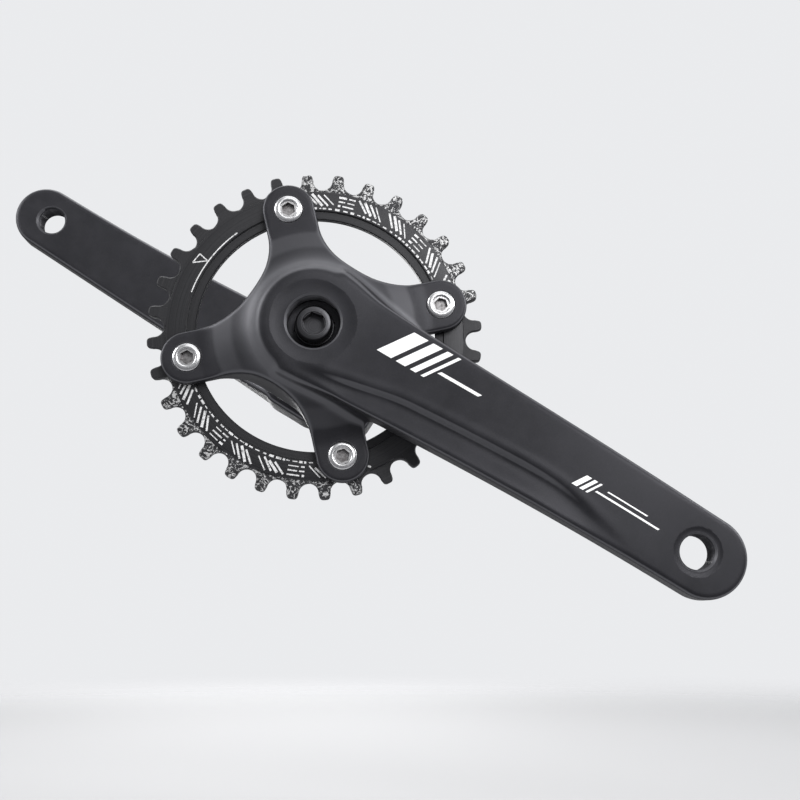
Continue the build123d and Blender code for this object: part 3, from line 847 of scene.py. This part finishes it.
def cup(side, hand):
    """Threaded bottom bracket cup with a flange that is notched inside for its tool."""
    start, shoulder, end = 18.0, 34.0, 36.5
    bore = 16.35
    flange = CUP_FLANGE_R[hand]
    pitch, depth = 25.4 / 24, 0.55
    thread = screw_thread(pitch, depth, start + 0.4, shoulder - 0.9, -1 if hand == "right" else 1)
    root = 16.84
    profile = [(bore, start), (16.6, start), (root, start + 0.25)]
    profile += thread_rows(root, start + 0.5, shoulder - 1.0, pitch)
    profile += [
        (root, shoulder - 0.7), (root, shoulder), (flange - 0.25, shoulder), (flange, shoulder + 0.25),
        (flange, end - 0.5), (flange - 0.45, end), (bore + 0.3, end), (bore, end - 0.3),
    ]
    piece = solid(f"{hand}_cup_threaded", lathe(profile, 160, thread), side)
    slot = np.array([(15.0, -0.8), (16.9, -0.8), (16.9, 0.8), (15.0, 0.8)])
    for notch in range(CUP_NOTCHES):
        angle = 360 / CUP_NOTCHES * notch
        box = slot @ (polar(1, angle), polar(1, angle + 90))
        cut(piece, prism(box, shoulder + 0.01, end + 1), side)
    return piece


# --- Finishes ---
class Nodes:
    """Node tree of a material or world, with short calls for the nodes that they share."""

    def __init__(self, owner, shader, coordinates):
        owner.use_nodes = True
        self.tree = owner.node_tree
        self.shader = self.tree.nodes[shader]
        self.coordinates = self.tree.nodes.new("ShaderNodeTexCoord").outputs[coordinates]

    def set(self, **inputs):
        """Sets or links inputs of the shader, with _ for the spaces in their names."""
        for key, value in inputs.items():
            self.feed(self.shader.inputs[key.replace("_", " ")], value)

    def feed(self, socket, value):
        if isinstance(value, bpy.types.NodeSocket):
            self.tree.links.new(value, socket)
        elif isinstance(value, tuple) and len(value) == 3 and socket.type == "RGBA":
            socket.default_value = (*value, 1)
        else:
            socket.default_value = value

    def node(self, kind, settings=None, **inputs):
        made = self.tree.nodes.new("ShaderNode" + kind)
        for key, value in (settings or {}).items():
            setattr(made, key, value)
        for key, value in inputs.items():
            self.feed(made.inputs[key.replace("_", " ")], value)
        return made

    def filled(self, kind, settings, *values):
        """First output of a node whose inputs are given in order."""
        made = self.node(kind, settings)
        for socket, value in zip(made.inputs, values):
            self.feed(socket, value)
        return made.outputs[0]

    def maths(self, operation, *values):
        return self.filled("Math", {"operation": operation}, *values)

    def product(self, value, *others):
        for other in others:
            value = self.maths("MULTIPLY", value, other)
        return value

    def noise(self, scale, detail=3.0, roughness=0.55, distortion=0.0, where=None):
        inputs = {"Scale": scale, "Detail": detail, "Roughness": roughness, "Distortion": distortion}
        return self.node("TexNoise", Vector=where or self.coordinates, **inputs).outputs["Fac"]

    def remap(self, value, low, high, to_low=0.0, to_high=1.0, ramp="LINEAR"):
        return self.filled("MapRange", {"interpolation_type": ramp}, value, low, high, to_low, to_high)

    def mix(self, share, a, b):
        made = self.node("Mix", {"data_type": "RGBA"})
        self.feed(made.inputs["Factor"], share)
        self.feed(made.inputs[6], a)
        self.feed(made.inputs[7], b)
        return made.outputs[2]

    def length(self, x, y):
        return self.maths("SQRT", self.maths("ADD", self.product(x, x), self.product(y, y)))

    def bump(self, *layers):
        """Normal from (height, distance in metres) layers, which fade where a surface is seen edge on."""
        strength = self.remap(self.node("LayerWeight", Blend=0.5).outputs["Facing"], 0.6, 0.88, 1, 0)
        normal = None
        for height, distance in layers:
            made = self.node("Bump", Strength=strength, Distance=distance, Height=height)
            if normal:
                self.tree.links.new(normal, made.inputs["Normal"])
            normal = made.outputs["Normal"]
        self.set(Normal=normal)

    def split(self, where=None):
        """x, y and z of a place."""
        return tuple(self.node("SeparateXYZ", Vector=where or self.coordinates).outputs)

    def turned(self, scale):
        """Noise that is the same all round the spindle axis, as lathe tools leave it."""
        x, y, z = self.split()
        rings = self.node("CombineXYZ", X=self.length(x, z), Y=y, Z=0.0)
        return self.noise(scale, 2.0, 0.5, where=rings.outputs[0])

    def edges(self, radius=0.0005, low=0.02, high=0.25):
        """Mask of the convex and concave edges within this distance."""
        bevel = self.node("Bevel", {"samples": 6}, Radius=radius).outputs[0]
        alike = self.node("VectorMath", {"operation": "DOT_PRODUCT"})
        self.feed(alike.inputs[0], bevel)
        self.feed(alike.inputs[1], self.node("NewGeometry").outputs["Normal"])
        return self.remap(self.maths("SUBTRACT", 1.0, alike.outputs["Value"]), low, high)


class Finish(Nodes):
    """Material with the shader's own inputs given by name."""

    def __init__(self, name, **inputs):
        self.material = bpy.data.materials.new(name)
        super().__init__(self.material, "Principled BSDF", "Object")
        self.set(**inputs)


def arm_finish():
    """Charcoal anodising over bead-blasted aluminium, a little polished on its edges, with a painted
    highlight on its faces slanted about 45° to the spindle axis.
    """
    f = Finish("charcoal_anodised", Metallic=0.55, Specular_IOR_Level=0.45)
    broad = f.noise(14, 3, 0.5)
    cloud = f.noise(90, 4, 0.6)
    grain = f.noise(3800, 2, 0.6)
    tone = f.mix(f.remap(broad, 0.35, 0.65), (0.017, 0.017, 0.0205), (0.024, 0.024, 0.0285))
    tone = f.mix(f.remap(cloud, 0.42, 0.7, 0, 0.5), tone, (0.031, 0.0305, 0.036))
    tone = f.mix(f.remap(grain, 0.45, 0.75, 0, 0.35), tone, (0.048, 0.047, 0.054))
    wear = f.product(f.edges(0.0006, 0.03, 0.4), f.remap(f.noise(240, 4, 0.7), 0.42, 0.62))
    tone = f.mix(f.product(wear, 0.4), tone, (0.15, 0.15, 0.165))
    # Painted highlight: faces slanted about 45° to the spindle axis (chamfers and fillets) get a lighter base
    # colour that stands in for the light they catch.
    facing = f.maths("ABSOLUTE", f.split(f.node("NewGeometry").outputs["Normal"])[1])
    bevel = f.product(f.remap(facing, 0.48, 0.62), f.remap(facing, 0.90, 0.80))
    tone = f.mix(f.product(bevel, 0.75), tone, (0.11, 0.11, 0.12))
    f.set(Base_Color=tone)
    f.set(Roughness=f.maths("ADD", f.remap(cloud, 0.3, 0.7, 0.40, 0.50), f.product(wear, -0.10)))
    f.bump((cloud, 0.00002), (grain, 0.000008))
    return f.material


def ring_finish():
    """Black anodising over turned aluminium, with laser mottling inside the etched sectors."""
    f = Finish("black_anodised_ring", Metallic=0.55, Specular_IOR_Level=0.5)
    lines = f.turned(5200)
    grain = f.noise(4200, 2, 0.6)
    tone = f.mix(f.remap(lines, 0.3, 0.7), (0.018, 0.018, 0.020), (0.036, 0.036, 0.039))
    tone = f.mix(f.remap(grain, 0.5, 0.8, 0, 0.4), tone, (0.06, 0.06, 0.063))
    wear = f.product(f.edges(0.0005, 0.03, 0.35), f.remap(f.noise(300, 4, 0.7), 0.38, 0.6))
    tone = f.mix(f.product(wear, 0.4), tone, (0.22, 0.22, 0.225))
    tone = f.mix(laser_mottling(f), tone, (0.62, 0.62, 0.62))
    f.set(Base_Color=tone, Roughness=f.remap(lines, 0.3, 0.7, 0.34, 0.46))
    f.bump((lines, 0.000012), (grain, 0.000010))
    return f.material


def laser_mottling(f):
    """Mask of the speckled marks on the outboard face and teeth within the etched sectors."""
    x, _, z = f.split()
    angle = f.maths("DEGREES", f.maths("ARCTAN2", z, x))
    arm_angle = math.degrees(math.atan2(RIGHT.u[2], RIGHT.u[0]))
    sectors = 0.0
    for start, end in ETCHED_SECTORS:
        middle = (start + end) / 2 + arm_angle
        away = f.maths("ABSOLUTE", f.maths("WRAP", f.maths("SUBTRACT", angle, middle), 180.0, -180.0))
        inside = f.remap(away, (end - start) / 2 + 1.5, (end - start) / 2)
        sectors = f.maths("MAXIMUM", sectors, inside)
    outer = f.remap(f.length(x, z), (RING_BODY_R - 0.2) * MM, (RING_BODY_R + 0.4) * MM)
    speckle = f.remap(f.noise(620, 5, 0.65, distortion=1.5), 0.525, 0.56)
    face = f.node("NewGeometry").outputs["True Normal"]
    outboard = f.remap(f.product(f.split(face)[1], -1.0), 0.55, 0.8)
    return f.product(sectors, outer, speckle, outboard, 0.85)


def print_finish():
    """White screen print with thin spots and a soft sheen."""
    f = Finish("white_print", Roughness=0.38, Specular_IOR_Level=0.5)
    thin = f.remap(f.noise(900, 4, 0.7), 0.60, 0.72, 0, 0.35)
    tone = f.mix(f.remap(f.noise(60, 3), 0.3, 0.7), (0.80, 0.80, 0.80), (0.90, 0.90, 0.89))
    f.set(Base_Color=f.mix(thin, tone, (0.35, 0.35, 0.37)))
    f.bump((f.noise(2500, 2), 0.00001))
    return f.material


def etch_finish():
    """Laser etching: pale, matt and broken up."""
    f = Finish("laser_etching", Metallic=0.3)
    broken = f.remap(f.noise(1100, 4, 0.7), 0.50, 0.66)
    f.set(Base_Color=f.mix(broken, (0.72, 0.72, 0.72), (0.22, 0.22, 0.22)))
    f.set(Roughness=f.remap(broken, 0, 1, 0.55, 0.7))
    f.bump((f.noise(5000, 2), 0.00001))
    return f.material


def polished_finish():
    """Bright plated steel with faint turning marks and small pits, dark and mottled where it lies below the
    tab's face.
    """
    f = Finish("polished_fastener", Metallic=1.0)
    marks = f.noise(1600, 3, 0.6)
    tone = f.mix(f.remap(marks, 0.3, 0.7), (0.70, 0.70, 0.71), (0.86, 0.86, 0.87))
    # Darker towards the bottom: the hex socket and the flange's sides below the tab's face take a dark,
    # mottled base colour.
    outboard = f.product(f.split()[1], -1.0)
    sunk = f.remap(outboard, (TAB_FRONT - 0.4) * MM, (TAB_FRONT + 0.3) * MM, 1, 0)
    sunk_mottle = f.remap(f.noise(700, 4, 0.7), 0.3, 0.7, 0.55, 0.95)
    f.set(Base_Color=f.mix(f.product(sunk, sunk_mottle), tone, (0.07, 0.06, 0.06)))
    f.set(Roughness=f.maths("ADD", f.remap(marks, 0.3, 0.7, 0.20, 0.28), f.product(sunk, 0.15)))
    f.bump((marks, 0.000002))
    return f.material


def steel_finish(name, dark, light, rough_low, rough_high, lines=4200, metallic=1.0):
    """Turned or ground steel: tone and roughness follow the tool's rings, with faint stains."""
    f = Finish(name, Metallic=metallic)
    rings = f.turned(lines)
    stain = f.noise(160, 4, 0.65)
    tone = f.mix(f.remap(rings, 0.3, 0.7), dark, light)
    stained = tuple(0.55 * c for c in dark)
    wear = f.edges(0.0004, 0.03, 0.35)
    tone = f.mix(f.remap(stain, 0.55, 0.75, 0, 0.45), tone, stained)
    tone = f.mix(f.product(wear, 0.3), tone, tuple(min(1.0, 1.7 * c) for c in light))
    f.set(Base_Color=tone, Roughness=f.remap(rings, 0.3, 0.7, rough_low, rough_high))
    f.bump((rings, 0.00001))
    return f.material


def moulded_finish(name, skin, marks, ramp, tones, rough, **inputs):
    """Paint, rubber or plastic: a skin that sets the roughness, and marks of a second tone. Each noise is
    its scale, detail and roughness; the ramp turns the marks' noise into their share."""
    f = Finish(name, **inputs)
    skin = f.noise(*skin)
    f.set(Base_Color=f.mix(f.remap(f.noise(*marks), *ramp), *tones))
    f.set(Roughness=f.remap(skin, 0.3, 0.7, *rough))
    f.bump((skin, 0.00003))
    return f.material


# --- Assembly ---
anodised = arm_finish()
ring_black = ring_finish()
printed = print_finish()
etched = etch_finish()
polished = polished_finish()
black_oxide = steel_finish("black_oxide", (0.045, 0.045, 0.049), (0.09, 0.09, 0.096), 0.28, 0.40, 3000)
ground_steel = steel_finish("ground_steel", (0.34, 0.345, 0.36), (0.50, 0.505, 0.52), 0.22, 0.36)
machined_alloy = steel_finish("machined_alloy", (0.40, 0.405, 0.42), (0.58, 0.585, 0.60), 0.26, 0.40, 3600)
bearing_steel = steel_finish("bearing_steel", (0.50, 0.505, 0.52), (0.66, 0.665, 0.68), 0.12, 0.22)

enamel = moulded_finish(
    "sleeve_enamel", (700, 3, 0.5), (130, 5, 0.7), (0.58, 0.70, 0, 0.6),
    ((0.022, 0.022, 0.024), (0.07, 0.068, 0.066)), (0.30, 0.42), Coat_Weight=0.25, Coat_Roughness=0.2,
)
rubber = moulded_finish(
    "nitrile_rubber", (1800, 3, 0.6), (220, 4, 0.7), (0.5, 0.72, 0, 0.5),
    ((0.016, 0.016, 0.017), (0.06, 0.057, 0.053)), (0.55, 0.75), Specular_IOR_Level=0.3,
)
nylon = moulded_finish(
    "cage_nylon", (260, 3, 0.5, 2.0), (260, 3, 0.5, 2.0), (0.3, 0.7),
    ((0.05, 0.10, 0.07), (0.08, 0.15, 0.10)), (0.4, 0.55), Specular_IOR_Level=0.4,
)

finish_piece(right_arm(), anodised, SPINDLE_BODY, ["right_crank_arm"], 40)
finish_piece(left_arm(), anodised, SPINDLE_BODY, ["left_crank_arm"], 40)
finish_piece(chainring(), ring_black, SPINDLE_BODY, ["chainring"], 25)

right_print = arm_print(right_front, 27, (3.5, 17.0), 8.7, (52, 7.5), (-3.0, 2.6), -1.2)
left_print = arm_print(left_front, 24, (-18.8, -9.0), 6.5, (48, -15.2), (-3.4, 2.2), -1.5)
for name, shape, side, paint in (
    ("right_arm_stripes", right_print, RIGHT, printed),
    ("left_arm_stripes", left_print, LEFT, printed),
    ("chainring_etching", ring_etching(), RIGHT, etched),
):
    points, faces = shape
    finish_piece(make_object(name, side.place(points), faces), paint, SPINDLE_BODY)

for bolt in chainring_bolts():
    finish_piece(bolt, polished, SPINDLE_BODY, ["chainring_bolts"])
for nut in chainring_nuts():
    finish_piece(nut, black_oxide, SPINDLE_BODY, ["chainring_nuts"])

for hand, side in (("right", RIGHT), ("left", LEFT)):
    bolt = crank_bolt(side, f"{hand}_hub_bolt")
    finish_piece(bolt, black_oxide, SPINDLE_BODY, [f"{hand}_crank_bolt"])
    washer = crank_washer(side, f"{hand}_hub_washer")
    finish_piece(washer, black_oxide, SPINDLE_BODY, [f"{hand}_crank_washer"])
    finish_piece(cup(side, hand), machined_alloy, SHELL_BODY, [f"{hand}_cup"])

CAD_FINISHES = {
    "spindle": ground_steel,
    "cartridge_sleeve": enamel,
    "bearing_outer_race": bearing_steel,
    "bearing_inner_race": bearing_steel,
    "bearing_balls": bearing_steel,
    "bearing_cage": nylon,
    "bearing_seals": rubber,
    "dust_seal": rubber,
}
for name, piece in frame["nodes"].items():
    for key, material in CAD_FINISHES.items():
        if name.endswith(key):
            piece.data.materials.clear()
            piece.data.materials.append(material)

# --- Floor, light and camera ---
SWING_R = (CAP_U + CAP_R) * MM
FLOOR_Z = -SWING_R - 0.006
FLOOR_R = 6.0
FADE_START, FADE_END = 0.25, 1.3
PALE = (0.41, 0.41, 0.415)
PALE_REFLECTED = (0.10, 0.10, 0.105)
DIM_START, DIM_END = 0.10, 0.18  # ahead of and behind the object, where the floor's reflection dims
REFLECTED_AHEAD, REFLECTED_LEVELS = (0.05, 0.45), (1.05, 0.34)  # the studio's, by how far ahead
BACKDROP = 0.85  # the studio's level to the camera
STUDIO_WHITE = (0.97, 0.98, 1.0)
SOFT_LIGHTS = {  # place, side length in metres and power in watts
    "overhead_softbox": ((0.1, -0.35, 1.1), 0.9, 1.8),
    "rear_overhead_softbox": ((-0.1, 0.6, 1.0), 0.9, 6.5),
    "left_softbox": ((-1.0, -0.3, 0.5), 0.6, 6),
    "right_softbox": ((1.0, -0.4, 0.5), 0.6, 6),
    "front_softbox": ((0.5, -1.2, 0.45), 0.6, 8),
    "upper_front_softbox": ((0.0, -0.9, 0.65), 0.5, 0.9),
    "rear_softbox": ((-0.1, 1.25, 0.3), 0.6, 6.5),
}


def floor():
    """Pale floor that fades into the surroundings; its reflection is dim except below the object."""
    points, faces = lathe([(0, 0), (0.4, 0), (FLOOR_R, 0), (FLOOR_R, -0.01), (0, -0.01)], 96)
    plane = make_object("studio_floor", points, outward(points, faces))
    plane.location.z = FLOOR_Z
    f = Finish("studio_floor", Roughness=0.75, Specular_IOR_Level=0.2)
    away = f.remap(f.maths("ABSOLUTE", f.split()[1]), DIM_START, DIM_END, ramp="SMOOTHSTEP")
    reflected = f.node("LightPath").outputs["Is Glossy Ray"]
    f.set(Base_Color=f.mix(f.product(away, reflected), PALE, PALE_REFLECTED))
    distance = f.node("VectorMath", {"operation": "LENGTH"}, Vector=f.coordinates)
    fade = f.remap(distance.outputs["Value"], FADE_START, FADE_END, ramp="SMOOTHERSTEP")
    clear = f.node("BsdfTransparent").outputs[0]
    faded = f.filled("MixShader", {}, fade, f.shader.outputs[0], clear)
    f.feed(f.tree.nodes["Material Output"].inputs["Surface"], faded)
    plane.data.materials.append(f.material)


def surroundings():
    """Even pale studio to the camera; in reflections, bright all round and darker ahead and behind."""
    world = bpy.data.worlds.new("studio")
    bpy.context.scene.world = world
    f = Nodes(world, "Background", "Generated")
    ahead = f.maths("ABSOLUTE", f.split()[1])
    seen = f.remap(ahead, *REFLECTED_AHEAD, *REFLECTED_LEVELS, ramp="SMOOTHSTEP")
    level = f.node("Mix")
    reflected = f.node("LightPath").outputs["Is Glossy Ray"]
    for number, value in ((0, reflected), (2, BACKDROP), (3, seen)):
        f.feed(level.inputs[number], value)
    f.set(Color=STUDIO_WHITE, Strength=level.outputs[0])


def soft_light(name, place, size, power):
    """Square area light that faces the origin."""
    data = bpy.data.lights.new(name, "AREA")
    data.size = size
    data.energy = power
    light = bpy.data.objects.new(name, data)
    light.location = place
    light.rotation_euler = Vector(place).to_track_quat("Z", "Y").to_euler()
    light.visible_camera = False
    bpy.context.scene.collection.objects.link(light)


def camera():
    """Camera at the viewing angle of a product photograph: low, close, looking slightly up."""
    data = bpy.data.cameras.new("camera")
    data.sensor_width = 36
    data.lens = 52
    data.clip_start = 0.02
    piece = bpy.data.objects.new("camera", data)
    piece.location = (0.0233, -0.512, -0.1139)
    look_up, turn_right = 0.1486, -0.0649
    piece.rotation_euler = Euler((math.pi / 2 + look_up, 0, turn_right), "XYZ")
    data.shift_x, data.shift_y = -0.058, 0.055
    bpy.context.scene.collection.objects.link(piece)
    bpy.context.scene.camera = piece


bpy.context.scene.view_settings.view_transform = "Standard"
floor()
surroundings()
for name, settings in SOFT_LIGHTS.items():
    soft_light(name, *settings)
camera()
